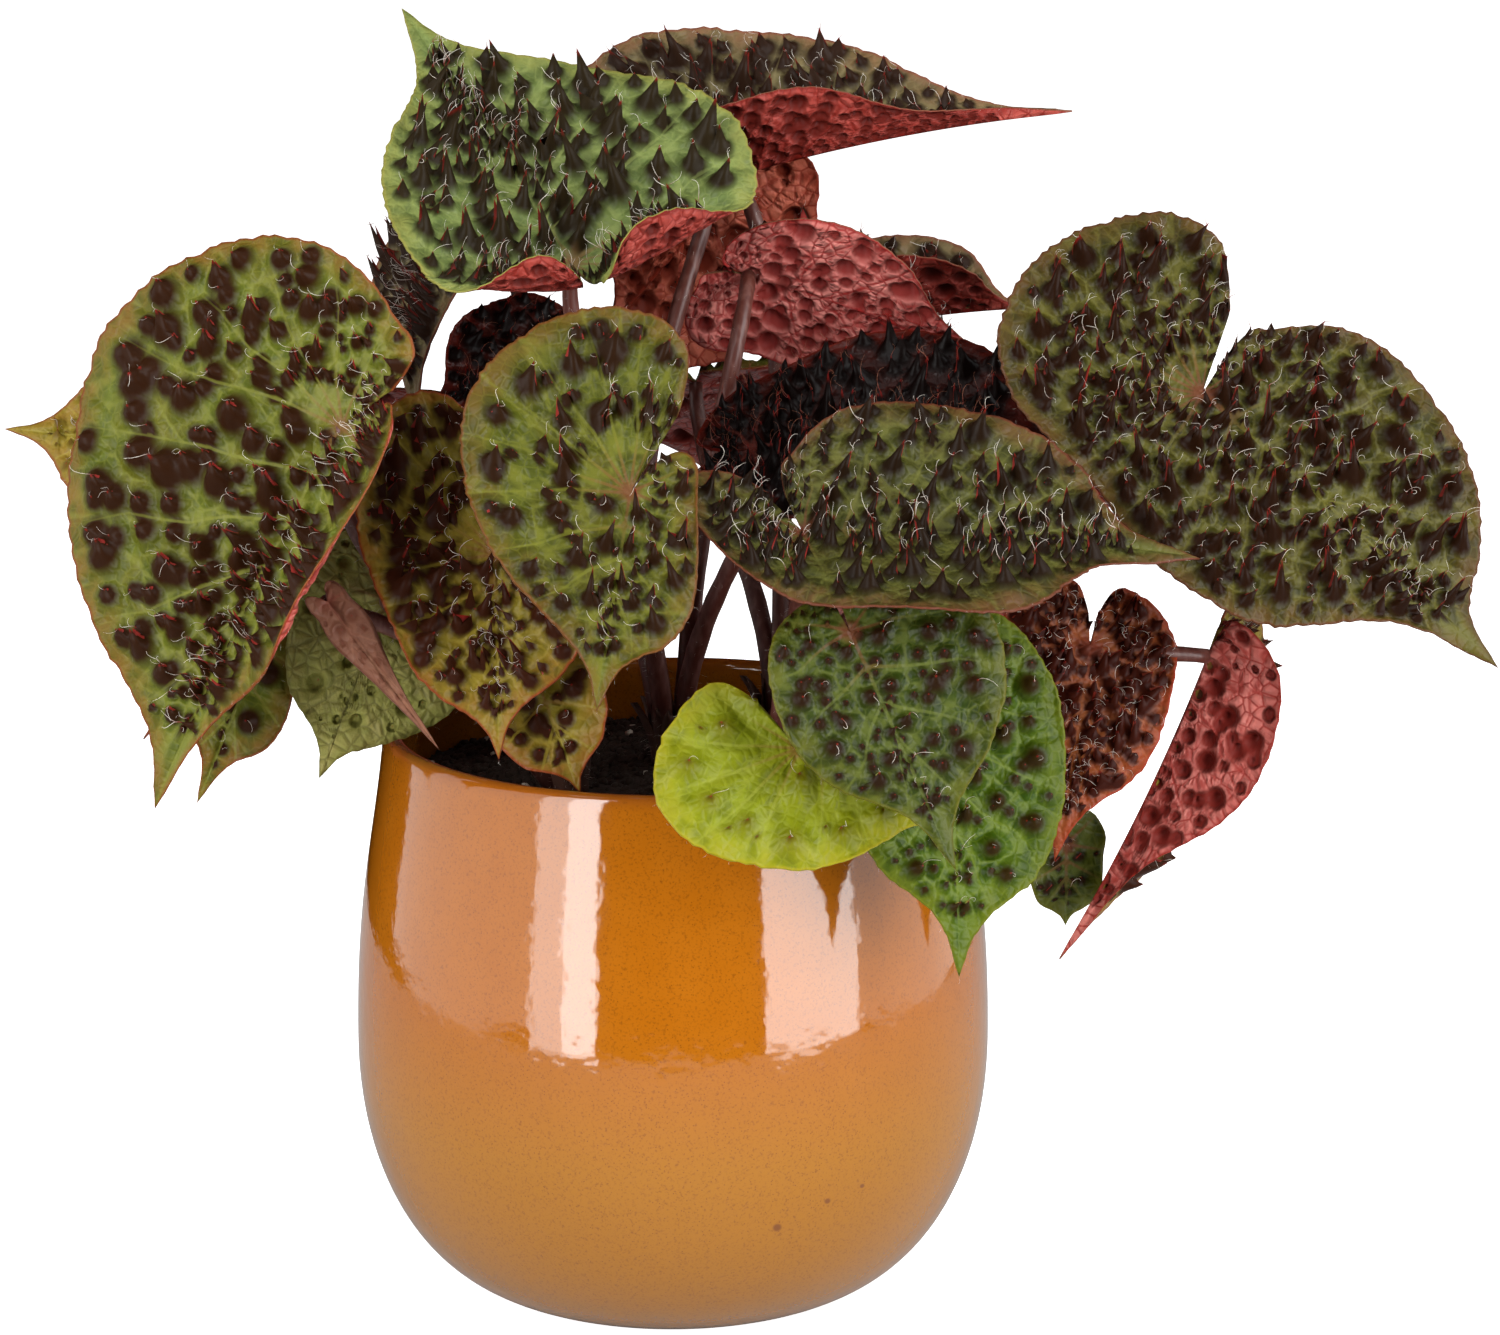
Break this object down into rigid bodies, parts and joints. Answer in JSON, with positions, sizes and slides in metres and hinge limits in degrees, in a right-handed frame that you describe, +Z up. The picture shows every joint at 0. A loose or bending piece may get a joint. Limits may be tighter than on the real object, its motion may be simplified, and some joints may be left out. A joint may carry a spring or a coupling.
{
  "type": "potted begonia ferox",
  "caption": "House plant with lopsided heart-shaped leaves covered in dark pointed cones, on hairy red stalks, in a round glazed ceramic pot filled with soil.",
  "frame": {"origin": "centre of the pot's flat foot, on the surface it stands on", "axes": "+Z up the pot's axis; -Y is the front as pictured; +X to the right as seen from the front"},
  "size_m": [0.3422, 0.2406, 0.3013],
  "materials": {
    "glaze": "gloss",
    "soil": "matte",
    "stem": "satin",
    "leaf_olive": "satin",
    "leaf_fresh": "satin",
    "leaf_dark": "satin",
    "leaf_lime": "satin",
    "leaf_green": "satin",
    "leaf_rust": "satin",
    "leaf_umber": "satin",
    "leaf_dry": "matte"
  },
  "bodies": {
    "root": {"pot": "glaze", "soil": "soil", "shoot_front_left": "stem", "shoot_front_right": "stem", "shoot_centre": "stem", "shoot_back_left": "stem", "shoot_back_right": "stem", "blade_left_large": "leaf_olive", "blade_far_left": "leaf_olive", "blade_top_left": "leaf_fresh", "blade_top_right": "leaf_dark", "blade_back_left_spiny": "leaf_dark", "blade_centre_light": "leaf_fresh", "blade_left_centre": "leaf_olive", "blade_centre_right": "leaf_dark", "blade_right_large": "leaf_dark", "blade_pink_centre": "leaf_green", "blade_rose_back": "leaf_green", "blade_small_back": "leaf_green", "blade_young_dark": "leaf_umber", "blade_young_hairy": "leaf_umber", "blade_lime": "leaf_lime", "blade_mid_green": "leaf_green", "blade_bright_green": "leaf_green", "blade_orange_brown": "leaf_rust", "blade_pink_right": "leaf_green", "blade_small_low_right": "leaf_olive", "blade_pale_low_left": "leaf_green", "blade_narrow_low_left": "leaf_olive", "blade_small_pot": "leaf_olive", "strip_dried": "leaf_dry", "blade_behind_left": "leaf_dark", "blade_behind_middle": "leaf_olive", "blade_behind_right": "leaf_green", "blade_behind_low_left": "leaf_green", "blade_behind_low_right": "leaf_fresh", "blade_behind_far_left": "leaf_olive"}
  },
  "joints": []
}
